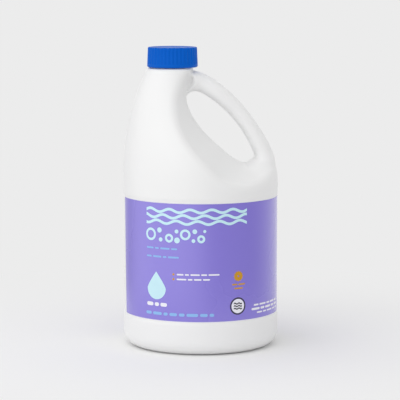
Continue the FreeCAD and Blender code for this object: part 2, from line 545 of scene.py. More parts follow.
@dataclass(frozen=True)
class PlasticFinish:
    """Moulded or printed plastic, with its grain, seam and a painted highlight on its sharp edges."""

    name: str
    colour: Triple
    shade: float = 0.03
    roughness: tuple[float, float] = (0.38, 0.46)
    broad_scale: float = 25.0
    fine_scale: float = 900.0
    grain_strength: float = 0.6
    relief: float = 0.02
    seam: float = 0.0
    # Strength and pale cyan colour of a painted highlight on sharp outer edges.
    painted_highlight: float = 0.0
    painted_highlight_colour: tuple[float, float, float, float] = (0.75, 0.85, 0.95, 1.0)
    coat: float = 0.0
    coat_roughness: float = 0.18
    glow: float = 0.0
    glow_depth: float = 3 * MM
    clear: float = 0.0
    shine: float = 0.5

    def material(self, kit: ShaderKit) -> Material:
        """Build the material.

        Args:
            kit: The shared node groups.

        Returns:
            The finished material.
        """
        made = bpy.data.materials.new(self.name)
        made.use_nodes = True
        tree = made.node_tree
        place = wire(tree, "ShaderNodeTexCoord").outputs["Object"]
        grain = wire(tree, "ShaderNodeGroup", {
            "Place": place, "Broad Scale": self.broad_scale, "Fine Scale": self.fine_scale,
        }, node_tree=kit.grain).outputs
        pale = linear(self.colour)
        deep = tuple(level * (1 - self.shade) for level in pale[:3]) + (1.0,)
        colour = self._blend(tree, grain["Broad"], deep, pale)
        # Painted highlight: sharp edges are mixed towards a pale colour.
        if self.painted_highlight:
            colour = self._paint_highlight(tree, kit, place, colour)
        polish = wire(tree, "ShaderNodeMapRange", {
            "Value": grain["Broad"], "To Min": self.roughness[0], "To Max": self.roughness[1]})
        bump = wire(tree, "ShaderNodeBump", {
            "Strength": self.grain_strength, "Distance": self.relief * MM, "Height": grain["Fine"]})
        if self.seam:
            line = wire(tree, "ShaderNodeGroup", {"Place": place}, node_tree=kit.mould_line)
            bump = wire(tree, "ShaderNodeBump", {
                "Strength": 1.0, "Distance": self.seam * MM, "Height": line, "Normal": bump})
        feed(tree, tree.nodes["Principled BSDF"], {
            "Base Color": colour, "Roughness": polish, "Normal": bump,
            "Coat Weight": self.coat, "Coat Roughness": self.coat_roughness,
            "Subsurface Weight": self.glow, "Subsurface Scale": self.glow_depth,
            "Subsurface Radius": WHITE[:3],
            "Transmission Weight": self.clear, "Specular IOR Level": self.shine})
        return made

    @staticmethod
    def _blend(tree: Tree, factor: Socket | Node, first: Any, second: Any) -> Socket:
        """Mix a second colour into a first one and give the socket of the result."""
        return wire(tree, "ShaderNodeMix", {0: factor, 6: first, 7: second}, data_type="RGBA").outputs[2]

    def _paint_highlight(self, tree: Tree, kit: ShaderKit, place: Socket,
             colour: Socket) -> Socket:
        """Paint a highlight by lightening the colour along sharp outer edges.

        Args:
            tree: The tree of the material in the making.
            kit: The shared node groups.
            place: The object coordinates.
            colour: The colour to lighten.

        Returns:
            The socket that holds the lightened colour.
        """
        # Painted highlight mask on sharp edges, mixed towards the pale highlight colour.
        edge = wire(tree, "ShaderNodeGroup", {"Place": place}, node_tree=kit.edge)
        strength = wire(tree, "ShaderNodeMath", {0: edge, 1: self.painted_highlight}, operation="MULTIPLY")
        return self._blend(tree, strength, colour, self.painted_highlight_colour)


JUG_WHITE = PlasticFinish("jug_white", (240, 240, 240), shade=0.015, roughness=(0.36, 0.44),
                          relief=0.02, seam=0.06, glow=0.10)
# The cap's sharp edges and ribs get a faint painted highlight.
CAP_BLUE = PlasticFinish("cap_blue", (0, 94, 199), shade=0.06, roughness=(0.34, 0.44),
                         relief=0.012, painted_highlight=0.1, shine=0.07)
LINER_FOAM = PlasticFinish("liner_foam", (232, 232, 230), shade=0.05, roughness=(0.75, 0.9),
                           fine_scale=2500.0, relief=0.08)
LABEL_FILM = PlasticFinish("label_film", (136, 123, 216), shade=0.03, roughness=(0.24, 0.30),
                           broad_scale=12.0, fine_scale=300.0, relief=0.01, coat=0.6)
BLEACH_LIQUID = PlasticFinish("bleach_liquid", (238, 240, 196), shade=0.02, roughness=(0.04, 0.06),
                              broad_scale=40.0, fine_scale=90.0, relief=0.05, clear=0.55)
INKS = {colour: PlasticFinish("ink_" + colour, tone, shade=shade, roughness=(0.28, 0.36), relief=0.006)
        for colour, tone, shade in (
            ("aqua", (198, 234, 244), 0.02), ("blue", (138, 184, 236), 0.02),
            ("white", (236, 236, 244), 0.02), ("gold", (206, 152, 30), 0.05), ("dark", (52, 48, 62), 0.03))}


@dataclass
class Jug:
    """The blown jug: its outer skin, screw neck and inner wall."""

    body_r: float
    panel_r: float
    panel_low: float
    panel_high: float
    lip_z: float
    neck_x: float
    heel_r: float = 48.0 * MM
    heel_steps: int = 8
    push_up: float = 6.0 * MM
    base_round: float = 12.0 * MM
    panel_ramp: float = 1.8 * MM
    side_top: float = 134.5 * MM
    side_fade: float = 143.0 * MM
    side_steps: int = 360
    neck_r: float = 17.6 * MM
    bore_r: float = 15.6 * MM
    crest_r: float = 18.8 * MM
    neck_height: float = 15.3 * MM
    neck_steps: int = 48
    stub: float = 2.6 * MM
    voxel: float = 1.4 * MM
    fair_rounds: int = 56
    fair_factors: tuple[float, float] = (1.0, -1.05)
    roots: tuple[tuple[Triple, float], ...] = (((49.0, 19.0, 160.0), 17.0), ((44.0, 8.0, 159.0), 11.0))
    root_factor: float = 0.9
    root_rounds: int = 22
    pocket_x: tuple[float, ...] = (-13.4 * MM, -11.8 * MM, -7.8 * MM, -5.0 * MM)
    pocket_y: tuple[float, float] = (3 * MM, 8 * MM)
    pocket_z: tuple[float, ...] = (218.6 * MM, 222.6 * MM, 231 * MM, 238 * MM)
    pocket_edge: float = 0.66
    pocket_depth: float = 6.6 * MM
    ease_factor: float = 0.6
    ease_rounds: int = 4
    wall: float = 0.9 * MM
    inner_share: float = 0.22

    @property
    def foot(self) -> float:
        """Say at what height the neck begins."""
        return self.lip_z - self.neck_height

    def build(self, nodes: list[Piece], cuts: list[tuple[str, float]]) -> Piece:
        """Build the whole jug from the solids that it stands for.

        Args:
            nodes: The meshes of the solids below the neck.
            cuts: The flat cuts between the solids, as axis and place.

        Returns:
            The jug as one closed mesh.
        """
        skin = join([self._outer_wall(node, cuts) for node in nodes], "jug_skin")
        self._cap_top(skin)
        self._even_out(skin)
        self._fair(skin)
        self._press_pockets(skin)
        self._true_side(skin)
        rim = self._cut_neck(skin, self.foot + self.stub)
        jug = join([skin, self._inside(skin), self._neck(max(self.neck_steps, rim))], "jug_skin")
        self._close_rings(jug)
        thread = helix("neck_thread", (self.neck_r - 0.1 * MM, self.crest_r), (1.0 * MM, 0.3 * MM),
                       (self.neck_x, self.lip_z - THREAD_DROP - 2 * LEAD), -1.6 * MM)
        jug = join([jug, thread], "jug_skin")
        smooth_by_angle(jug, 50)
        return jug

    def _outer_wall(self, node: Piece, cuts: list[tuple[str, float]]) -> Piece:
        """Copy a solid, open it at its flat cuts and keep its outer wall.

        Args:
            node: The solid's mesh.
            cuts: The flat cuts, as axis and place.

        Returns:
            The outer wall, open where the solid was cut.
        """
        copy = put(node.name + "_wall", node.data.copy())
        before = set(bpy.data.objects)
        edit(copy, Pick.FACES, whole=True)
        bpy.ops.mesh.remove_doubles(threshold=SAME_PLANE)
        for axis, place in cuts:
            if pick(copy, Pick.FACES, lambda face: all(
                    abs(getattr(vert.co, axis) - place) < SAME_PLANE for vert in face.verts)):
                bpy.ops.mesh.delete(type="FACE")
        take_whole()
        bpy.ops.mesh.separate(type="LOOSE")
        leave()
        parts = [copy] + [part for part in bpy.data.objects if part not in before]
        parts.sort(key=lambda part: part.dimensions.x * part.dimensions.y, reverse=True)
        for inner in parts[1:]:
            bpy.data.objects.remove(inner)
        return parts[0]

    def _cap_top(self, skin: Piece) -> None:
        """Raise the rim of the neck's stub and close it.

        Args:
            skin: The joined outer walls.
        """
        edit(skin, Pick.EDGES)
        if pick_rim(skin, self.foot, self.foot + self.stub):
            extrude((0, 0, 2 * self.stub))
            bpy.ops.mesh.edge_face_add()
        leave()

    def _even_out(self, skin: Piece) -> None:
        """Give the outer form an even mesh, drawn back onto its walls to take out the ripples.

        Args:
            skin: The closed outer form.
        """
        walls = put("walls", skin.data.copy())
        modify(skin, "even", "REMESH", mode="VOXEL", voxel_size=self.voxel, use_smooth_shade=True)
        modify(skin, "close", "SHRINKWRAP", target=walls, wrap_method="NEAREST_SURFACEPOINT")
        finish_modifiers(skin)
        bpy.data.objects.remove(walls)

    def _fair(self, skin: Piece) -> None:
        """Take the facets out of the skin without shrinking it, then soften the handle's lower roots.

        Args:
            skin: The evenly meshed form.
        """
        weigh(skin, "roots", self._root_weight, 0.01)
        for factor in self.fair_factors * self.fair_rounds:
            modify(skin, "relax", "SMOOTH", factor=factor, iterations=1)
            finish_modifiers(skin)
        modify(skin, "soften", "SMOOTH", vertex_group="roots", factor=self.root_factor,
               iterations=self.root_rounds)
        finish_modifiers(skin)

    def _root_weight(self, place: Vector) -> float:
        """Say how strongly the joint of handle and shoulder is softened at a place.

        Args:
            place: A point on the skin.

        Returns:
            A weight from 0 to 1.
        """
        side = Vector((place.x, abs(place.y), place.z))
        near = 0.0
        for centre, far in self.roots:
            reach = far * MM
            near = max(near, 1 - blend_step(reach * 0.4, reach, (side - Vector(centre) * MM).length))
        return near

    def _press_pockets(self, skin: Piece) -> None:
        """Press the shaded pockets between the recess and the handle's upper root.

        Args:
            skin: The smoothed form.
        """
        for side, name in ((-1, "pocket_front"), (1, "pocket_back")):
            weigh(skin, name, lambda place: self._pocket_weight(place, side))
            modify(skin, "press", "DISPLACE", vertex_group=name, direction="Y", mid_level=0.0,
                   strength=-side * self.pocket_depth)
            modify(skin, "ease", "SMOOTH", vertex_group=name, factor=self.ease_factor,
                   iterations=self.ease_rounds)
        finish_modifiers(skin)

    def _pocket_weight(self, place: Vector, side: int) -> float:
        """Say how deep a pocket is pressed at a place.

        Args:
            place: A point on the skin.
            side: The pocket's side, -1 for the front and 1 for the back.

        Returns:
            A weight from 0 to 1.
        """
        x, y, z = place.x, place.y * side, place.z
        start, edge, deep, end = self.pocket_x
        low, low_full, high_full, high = self.pocket_z
        if not (start < x < end and low < z < high and y > 0):
            return 0.0
        floor = self.pocket_edge + (1 - self.pocket_edge) * (x - edge) / (deep - edge)
        across = min(floor, 1.0) * blend_step(start, edge, x) * (1 - blend_step(deep, end, x))
        rise = x - start
        upright = blend_step(low + rise, low_full + rise, z) * (1 - blend_step(high_full, high, z))
        return across * upright * blend_step(*self.pocket_y, y)

    def _true_side(self, skin: Piece) -> None:
        """Draw the round lower body onto an exactly turned form.

        Args:
            skin: The smoothed form.
        """
        centre_r = self.body_r - self.base_round
        outline = [(0.0, self.push_up), (self.heel_r, 0.0), (centre_r, 0.0)]
        for i in range(1, self.heel_steps + 1):
            turn = math.pi / 2 * i / self.heel_steps
            outline.append((centre_r + self.base_round * math.sin(turn),
                            self.base_round * (1 - math.cos(turn))))
        outline += [
            (self.body_r, self.panel_low - self.panel_ramp),
            (self.panel_r, self.panel_low),
            (self.panel_r, self.panel_high),
            (self.body_r, self.panel_high + self.panel_ramp),
            (self.body_r, self.side_fade + 10 * MM),
        ]
        form = lathe("turned_form", outline, 0.0, self.side_steps)
        weigh(skin, "side", lambda place: 1 - blend_step(self.side_top, self.side_fade, place.z), 0.005)
        modify(skin, "true_side", "SHRINKWRAP", target=form, vertex_group="side",
               wrap_method="NEAREST_SURFACEPOINT")
        finish_modifiers(skin)
        bpy.data.objects.remove(form)

    def _cut_neck(self, piece: Piece, height: float) -> int:
        """Cut a piece off above a height.

        Args:
            piece: The mesh to cut.
            height: Where to cut, in metres.

        Returns:
            The number of edges round the cut.
        """
        edit(piece, whole=True)
        bpy.ops.mesh.bisect(plane_co=(0, 0, height), plane_no=(0, 0, 1), clear_outer=True)
        count = pick_rim(piece, height - NEAR, height + NEAR)
        leave()
        return count

    def _inside(self, skin: Piece) -> Piece:
        """Make the inner wall from a thinned-out copy of the skin.

        Args:
            skin: The outer skin, open at the neck.

        Returns:
            The inner wall, facing the hollow.
        """
        inner = put("jug_inside", skin.data.copy())
        modify(inner, "push", "DISPLACE", mid_level=0.0, strength=-self.wall)
        modify(inner, "thin", "DECIMATE", ratio=self.inner_share)
        finish_modifiers(inner)
        edit(inner, Pick.FACES, whole=True)
        bpy.ops.mesh.flip_normals()
        leave()
        return inner

    def _neck(self, steps: int) -> Piece:
        """Turn the upright neck wall with its rounded lip.

        Args:
            steps: Facets round the neck.

        Returns:
            The neck, open at both lower rims.
        """
        outline = [
            *in_mm(self.neck_r, self.foot, [(0, 3.2), (0, 6)]),
            *in_mm(self.neck_r, self.lip_z, [(0, -0.6), (-0.18, -0.18), (-0.6, 0)]),
            *in_mm(self.bore_r, self.lip_z, [(0.4, 0), (0.1, -0.12), (0, -0.5)]),
            *in_mm(self.bore_r, self.foot, [(0, 6), (0, 3.2)]),
        ]
        return lathe("neck", outline, self.neck_x, steps)

    def _close_rings(self, jug: Piece) -> None:
        """Bridge the neck to the outer skin and to the inner wall.

        Args:
            jug: The joined mesh with two open pairs of rings.
        """
        middle = self.neck_r - self.wall / 2
        edit(jug, Pick.EDGES)
        for side in (1, -1):
            pick_rim(jug, self.foot + 1.0 * MM, self.foot + 4.5 * MM,
                     lambda place: side * (math.hypot(place.x - self.neck_x, place.y) - middle) > 0)
            bpy.ops.mesh.bridge_edge_loops()
        take_whole()
        bpy.ops.mesh.normals_make_consistent(inside=False)
        leave()


@dataclass
class ScrewCap:
    """The ribbed screw cap with its inner thread and liner bead."""

    centre_x: float
    foot: float
    top: float
    seat: float
    foot_r: float
    top_r: float
    bore_r: float = 19.3 * MM
    roof_t: float = 1.6 * MM
    edge: float = 0.9 * MM
    edge_steps: int = 4
    band: float = 2.6 * MM
    ribs: int = 40
    per_rib: int = 8
    rib_start: float = 0.5 * MM
    rib_end: float = 1.7 * MM
    groove: float = 0.55 * MM
    groove_shares: tuple[Triple, ...] = ((-0.1, 0.1, 1.0), (0.15, 0.35, 0.86), (0.4, 0.6, 0.42))
    level: float = 0.02 * MM
    crest_r: float = 18.05 * MM

    def build(self) -> Piece:
        """Build the cap from one ring of edges.

        Returns:
            The cap as one mesh.
        """
        start = self.foot_r - self.edge
        cap = add(bpy.ops.mesh.primitive_circle_add, vertices=self.ribs * self.per_rib, radius=start,
                  location=(self.centre_x, 0, self.foot))
        freeze(cap)
        edit(cap)
        self._outside(cap, start)
        self._inside(cap, start)
        leave()
        face_outward(cap)
        thread = helix("cap_thread", (self.bore_r + 0.1 * MM, self.crest_r), (0.85 * MM, 0.25 * MM),
                       (self.centre_x, self.seat - THREAD_DROP - 2.5 * LEAD), 1.3 * MM)
        cap = join([cap, thread], "screw_cap")
        smooth_by_angle(cap, 40)
        return cap

    def _scale(self, scale: float, height: float) -> None:
        """Widen or narrow the selected ring about the cap's axis."""
        scale_about((scale, scale, 1), (self.centre_x, 0, height))

    def _walk(self, rings: Outline, closed: bool = False) -> None:
        """Extrude the selected ring through a list of rings.

        Args:
            rings: Pairs of radius and height, the first where the ring already is.
            closed: Whether the last ring is closed at the centre.
        """
        for (from_r, from_z), (radius, height) in zip(rings, rings[1:]):
            extrude((0, 0, height - from_z))
            self._scale(radius / from_r, height)
        if closed:
            extrude((0, 0, 0))
            bpy.ops.mesh.merge(type="COLLAPSE")

    def _groove_ring(self, cap: Piece, height: float, radius: float) -> None:
        """Press the grooves between the ribs into the ring at one height.

        Args:
            cap: The cap's mesh, in edit mode.
            height: The ring's height.
            radius: The ring's radius.
        """
        pitch = FULL_TURN / self.ribs

        def share(place: Vector) -> float:
            """Say how far a point is from a groove's middle, from 0 to 1 on the rib."""
            turn = math.atan2(place.y, place.x - self.centre_x) % pitch
            return abs(turn / pitch - 0.5) * 2

        def reach(place: Vector) -> float:
            """Say how far a point of this ring's level is from the axis, or 0 for another level."""
            return math.hypot(place.x - self.centre_x, place.y) if abs(place.z - height) < self.level else 0.0

        for low, high, part in self.groove_shares:
            if pick_verts(cap, lambda p: abs(reach(p) - radius) < 0.1 * MM and low < share(p) < high):
                self._scale((radius - self.groove * part) / radius, height)
        pick_verts(cap, lambda p: reach(p) > radius - self.groove - 0.2 * MM)
        bpy.ops.mesh.select_mode(type="EDGE")

    def _outside(self, cap: Piece, start: float) -> None:
        """Extrude the band, the ribs, the rounded shoulder and the top.

        Args:
            cap: The cap's mesh, in edit mode.
            start: Radius of the first ring.
        """
        slope = (self.top_r - self.foot_r) / (self.top - self.foot)

        def wall(height: float) -> tuple[float, float]:
            """Give the ring of the sloping wall at a height."""
            return self.foot_r + slope * (height - self.foot), height

        band = self.foot + self.band
        ribs = wall(band + self.rib_start)
        take_whole()
        self._walk([
            (start, self.foot),
            *in_mm(self.foot_r, self.foot, [(-0.25, 0.55), (0, 0.9)]),
            wall(band - 0.3 * MM),
            wall(band),
            ribs,
        ])
        self._groove_ring(cap, ribs[1], ribs[0])
        rim, shoulder = wall(self.top - self.edge)
        arc = [ribs, wall(self.top - self.rib_end), (rim, shoulder)]
        for i in range(1, self.edge_steps + 1):
            turn = math.pi / 2 * i / self.edge_steps
            arc.append((rim - self.edge * (1 - math.cos(turn)), shoulder + self.edge * math.sin(turn)))
        arc += in_mm(rim, self.top, [(-2.4, 0), (-2.7, -0.06), (-2.9, -0.2), (-3.3, -0.25)])
        arc += in_mm(0, self.top, [(8, -0.25), (1.2, -0.25)])
        self._walk(arc, closed=True)

    def _inside(self, cap: Piece, start: float) -> None:
        """Extrude the bottom edge, the bore, the liner bead and the roof.

        Args:
            cap: The cap's mesh, in edit mode.
            start: Radius of the first ring.
        """
        pick_rim(cap, self.foot - NEAR, self.foot + NEAR)
        roof = self.top - self.roof_t
        self._walk([
            (start, self.foot),
            *in_mm(self.bore_r, self.foot, [(0.5, 0), (0.1, 0.15), (0, 0.5)]),
            *in_mm(self.bore_r, self.seat, [(0, -1.0), (-0.55, -0.62), (-0.55, -0.42), (0, 0)]),
            *in_mm(self.bore_r, roof, [(0, 0), (-0.4, 0)]),
            (2 * MM, roof),
        ], closed=True)


@dataclass
class Liner:
    """The foam disc that seals the lip."""

    low: Vector
    high: Vector
    steps: int = 96
    press: float = 0.12 * MM
    soft: float = 0.15 * MM

    def build(self) -> Piece:
        """Build the disc with soft edges and the ring that the lip pressed in.

        Returns:
            The disc.
        """
        disc = add(bpy.ops.mesh.primitive_cylinder_add, vertices=self.steps,
                   radius=(self.high.x - self.low.x) / 2, depth=self.high.z - self.low.z,
                   location=(self.low + self.high) / 2)
        disc.name = "foam_liner"
        freeze(disc)
        edit(disc, Pick.FACES)
        pick(disc, Pick.FACES, lambda face: face.calc_center_median().z < self.low.z + NEAR)
        for width, rise in ((1.2, 0.0), (0.3, -self.press), (1.7, 0.0), (0.3, self.press)):
            bpy.ops.mesh.inset(thickness=width * MM, depth=rise)
        leave()
        modify(disc, "soften", "BEVEL", width=self.soft, segments=2, limit_method="ANGLE",
               angle_limit=math.radians(60))
        finish_modifiers(disc)
        smooth_by_angle(disc, 40)
        return disc


def roll_up(sheet: Piece, radius: float, thickness: float) -> None:
    """Bend an upright flat sheet round the jug, face it outward and give it thickness.

    Args:
        sheet: A flat mesh in the XZ plane, its front middle at the origin.
        radius: The radius of its inner face.
        thickness: Its thickness.
    """
    xs = [vert.co.x for vert in sheet.data.vertices]
    modify(sheet, "bend", "SIMPLE_DEFORM", deform_method="BEND", deform_axis="Z",
           angle=(max(xs) - min(xs)) / radius)
    finish_modifiers(sheet)
    edit(sheet, whole=True)
    move((0, -radius, 0))
    pick(sheet, Pick.FACES, lambda face: face.normal.xy.dot(face.calc_center_median().xy) < 0)
    bpy.ops.mesh.flip_normals()
    leave()
    modify(sheet, "thicken", "SOLIDIFY", thickness=thickness, offset=1.0)
    finish_modifiers(sheet)
    smooth_by_angle(sheet, 40)


@dataclass
class PrintSheet:
    """One colour of print: flat shapes that are wrapped on the label together.

    The shapes are laid out in mm, u along the label from its front middle and z upward.
    """

    name: str
    radius: float
    proud: float = 0.03 * MM
    thickness: float = 0.02 * MM
    slice_step: float = 1.2 * MM
    tight: float = 0.001 * MM
    bar_round: float = 0.49
    bar_steps: int = 5
    seal_dip: float = 0.84
    seal_width: float = 0.62
    drop_steps: int = 64
    drop_taper: float = 1.6
    shapes: list[Piece] = field(default_factory=list)

    def _stand(self, shape: Piece, u: float, z: float) -> Piece:
        """Stand a flat shape up at its place on the unrolled label.

        Args:
            shape: A shape made in the XY plane at the origin.
            u: Its place along the label.
            z: Its height.

        Returns:
            The same shape.
        """
        shape.rotation_euler = (math.pi / 2, 0, 0)
        shape.location = (u * MM, 0, z * MM)
        freeze(shape)
        self.shapes.append(shape)
        return shape

    @staticmethod
    def _hollow(shape: Piece, stroke: float) -> None:
        """Take the middle out of a shape and leave a band."""
        edit(shape, Pick.FACES, whole=True)
        bpy.ops.mesh.inset(thickness=stroke * MM)
        bpy.ops.mesh.delete(type="FACE")
        leave()

    def bar(self, left: float, right: float, z: float, height: float) -> None:
        """Add a bar with round ends.

        Args:
            left: Its left end.
            right: Its right end.
            z: Height of its middle.
            height: Its thickness.
        """
        shape = add(bpy.ops.mesh.primitive_plane_add, size=1.0)
        shape.scale = ((right - left) * MM, height * MM, 1)
        freeze(shape)
        edit(shape, whole=True)
        bpy.ops.mesh.bevel(offset=min(height, right - left) * self.bar_round * MM, segments=self.bar_steps,
                           affect="VERTICES")
        leave()
        self._stand(shape, (left + right) / 2, z)

    def dashes(self, left: float, z: float, height: float, lengths: list[float], gap: float) -> None:
        """Add a row of short bars in place of words.

        Args:
            left: Where the row begins.
            z: Height of its middle.
            height: Thickness of the bars.
            lengths: The length of each bar.
            gap: The space between bars.
        """
        for length in lengths:
            self.bar(left, left + length, z, height)
            left += length + gap

    def disc(self, u: float, z: float, radius: float, count: int = 40) -> Piece:
        """Add a filled disc with a number of corners, centred on u and z."""
        shape = add(bpy.ops.mesh.primitive_circle_add, vertices=count, radius=radius * MM, fill_type="NGON")
        return self._stand(shape, u, z)

    def ring(self, u: float, z: float, radius: float, stroke: float) -> None:
        """Add an open ring, centred on u and z and as wide as its stroke."""
        self._hollow(self.disc(u, z, radius, 48), stroke)

    def seal(self, u: float, z: float, radius: float, points: int) -> None:
        """Add a scalloped ring.

        Args:
            u: Its centre along the label.
            z: Its height.
            radius: Its outer radius.
            points: The number of scallops.
        """
        shape = self.disc(u, z, radius, points * 2)
        centre = (u * MM, 0, z * MM)
        edit(shape)
        step = math.pi / points
        pick_verts(shape, lambda p: round(math.atan2(p.z - centre[2], p.x - centre[0]) / step) % 2 == 1)
        scale_about((self.seal_dip, 1, self.seal_dip), centre)
        self._hollow(shape, radius * self.seal_width)

    def drop(self, u: float, z: float, radius: float, tip: float) -> None:
        """Add a water drop.

        Args:
            u: Its centre along the label.
            z: Height of its round part's centre.
            radius: Radius of the round part.
            tip: Height of its tip above that centre.
        """
        count = self.drop_steps
        shape = self.disc(u, z, radius, count)
        edit(shape)
        mid = z * MM
        for i in range(1, count // 4):
            level = radius * MM * math.sin(i * FULL_TURN / count)
            if pick_verts(shape, lambda p: abs(p.z - mid - level) < self.tight):
                share = level / (radius * MM)
                narrow = (1 - share ** self.drop_taper) / math.sqrt(1 - share * share)
                scale_about((narrow, 1, 1), (u * MM, 0, mid + level))
                move((0, 0, (tip - radius) * MM * share ** 2))
        pick_verts(shape, lambda p: abs(p.z - mid - radius * MM) < self.tight and abs(p.x - u * MM) < NEAR)
        move((0, 0, (tip - radius) * MM))
        leave()

    def ripple(self, left: float, right: float, z: float, stroke: float, swing: float, length: float,
               shift: float) -> None:
        """Add a wavy ribbon.

        Args:
            left: Its left end.
            right: Its right end.
            z: Height of its middle.
            stroke: Its thickness.
            swing: How far it swings up and down.
            length: Length of one wave.
            shift: Where along the wave it begins.
        """
        cuts = int(right - left)
        shape = add(bpy.ops.mesh.primitive_grid_add, x_subdivisions=cuts, y_subdivisions=1, size=1.0)
        shape.scale = ((right - left) * MM, stroke * MM, 1)
        freeze(shape)
        self._stand(shape, (left + right) / 2, z)
        edit(shape)
        for i in range(cuts + 1):
            u = left + (right - left) * i / cuts
            turn = FULL_TURN * (u - left + shift) / length
            if pick_verts(shape, lambda p: abs(p.x - u * MM) < 0.1 * MM):
                widen = math.sqrt(1 + (swing * FULL_TURN / length * math.cos(turn)) ** 2)
                scale_about((1, 1, widen), (u * MM, 0, z * MM))
                move((0, 0, swing * MM * math.sin(turn)))
        leave()

    def wrap(self) -> Piece:
        """Join the shapes, slice them upright, give them thickness and bend them round the label.

        Returns:
            The print of this colour as one mesh.
        """
        sheet = join(self.shapes, self.name)
        xs = [vert.co.x for vert in sheet.data.vertices]
        left, right = min(xs), max(xs)
        edit(sheet)
        place = math.floor(left / self.slice_step) * self.slice_step
        while place < right:
            take_whole()
            bpy.ops.mesh.bisect(plane_co=(place, 0, 0), plane_no=(1, 0, 0))
            place += self.slice_step
        take_whole()
        bpy.ops.mesh.normals_make_consistent(inside=False)
        leave()
        roll_up(sheet, self.radius + self.proud, self.thickness)
        return sheet


@dataclass
class WrapLabel:
    """The film round the body, with its fields of print."""

    inner_r: float
    outer_r: float
    low: float
    high: float
    end_top: float = 77.4
    end_bottom: float = 73.7
    step: float = 1.15 * MM
    rings: tuple[Triple, ...] = (
        (-45.6, 103.6, 5.4), (-27.4, 101.2, 3.8), (-13.0, 104.6, 4.6), (0.6, 101.0, 3.4))
    bubbles: tuple[Triple, ...] = (
        (-36.6, 107.6, 2.2), (-35.4, 99.6, 1.8), (-20.6, 107.2, 1.7), (-20.2, 99.6, 2.5), (-6.0, 99.4, 1.6),
        (-4.8, 107.4, 2.0), (3.6, 107.6, 1.3),
    )

    def build(self) -> Piece:
        """Build the film: a strip cut slanting at both ends and rolled up.

        Returns:
            The film.
        """
        radius = self.inner_r
        left_top = -math.radians(self.end_top) * radius
        left_low = -math.radians(self.end_bottom) * radius
        right_top = math.radians(180 + self.end_bottom) * radius
        right_low = math.radians(180 + self.end_top) * radius
        width = right_low - left_top
        height = self.high - self.low
        film = add(bpy.ops.mesh.primitive_grid_add, x_subdivisions=round(width / self.step), y_subdivisions=6,
                   size=1.0)
        film.name = "label_film"
        film.scale = (width, height, 1)
        film.rotation_euler = (math.pi / 2, 0, 0)
        film.location = ((left_top + right_low) / 2, 0, (self.low + self.high) / 2)
        freeze(film)
        edit(film)
        for top, bottom, sign in ((left_top, left_low, -1), (right_top, right_low, 1)):
            lean = Vector((height, 0, bottom - top)).normalized() * sign
            take_whole()
            bpy.ops.mesh.bisect(plane_co=(bottom, 0, self.low), plane_no=lean, clear_outer=True)
        leave()
        face_outward(film)
        roll_up(film, self.inner_r, self.outer_r - self.inner_r)
        return film

    def prints(self) -> dict[str, Piece]:
        """Build the print, one mesh for each colour.

        Returns:
            The meshes by colour name.
        """
        aqua, blue, white, gold, dark = (PrintSheet("print_" + colour, self.outer_r) for colour in INKS)
        for i in range(3):
            aqua.ripple(-50.5, 42.0, 124.6 - 4.9 * i, 2.3, 1.35, 18.5, 6.0 * i)
        for u, z, radius in self.rings:
            aqua.ring(u, z, radius, 2.0)
        for u, z, radius in self.bubbles:
            aqua.disc(u, z, radius)
        aqua.drop(-40.0, 57.2, 9.4, 14.6)

        blue.dashes(-50.2, 92.0, 1.5, [7.5, 4.0, 9.0, 5.5], 1.4)
        blue.dashes(-50.2, 84.8, 1.5, [5.5, 8.5, 3.5, 10.0], 1.4)
        blue.dashes(-51.0, 35.8, 2.6, [6.0, 9.0, 4.0, 7.0, 5.0, 10.0, 6.5, 4.0], 1.6)

        white.dashes(-50.0, 43.6, 3.2, [7.0, 4.4, 6.4], 1.4)
        white.dashes(-20.5, 70.4, 1.3, [6.0, 3.5, 8.0, 5.0, 9.5], 1.2)
        white.dashes(-20.5, 66.3, 1.3, [8.5, 4.0, 6.5, 6.0], 1.2)
        white.disc(33.2, 42.5, 6.1)
        white.dashes(50.0, 41.6, 1.5, [6.0, 9.0, 5.0, 8.0, 7.0], 1.3)
        white.dashes(47.5, 38.2, 1.9, [10.0, 5.5, 9.0, 6.0, 7.5], 1.3)
        white.dashes(54.0, 34.8, 1.3, [7.0, 5.0, 9.0, 6.0, 6.0], 1.3)

        gold.disc(-23.4, 70.4, 0.95, 20)
        gold.disc(-23.4, 66.3, 0.95, 20)
        gold.seal(33.6, 68.2, 4.6, 12)
        gold.dashes(27.6, 61.2, 1.3, [5.0, 6.8], 0.9)
        gold.dashes(29.6, 57.8, 1.3, [8.4], 0.9)

        dark.ring(33.2, 42.5, 7.5, 1.2)
        over = PrintSheet("print_mark", self.outer_r, proud=0.06 * MM)
        for i in range(3):
            over.ripple(29.2, 37.2, 44.7 - 2.2 * i, 1.0, 0.5, 4.0, 0.0)
        return {"aqua": aqua.wrap(), "blue": blue.wrap(), "white": white.wrap(), "gold": gold.wrap(),
                "dark": join([dark.wrap(), over.wrap()], "print_dark")}


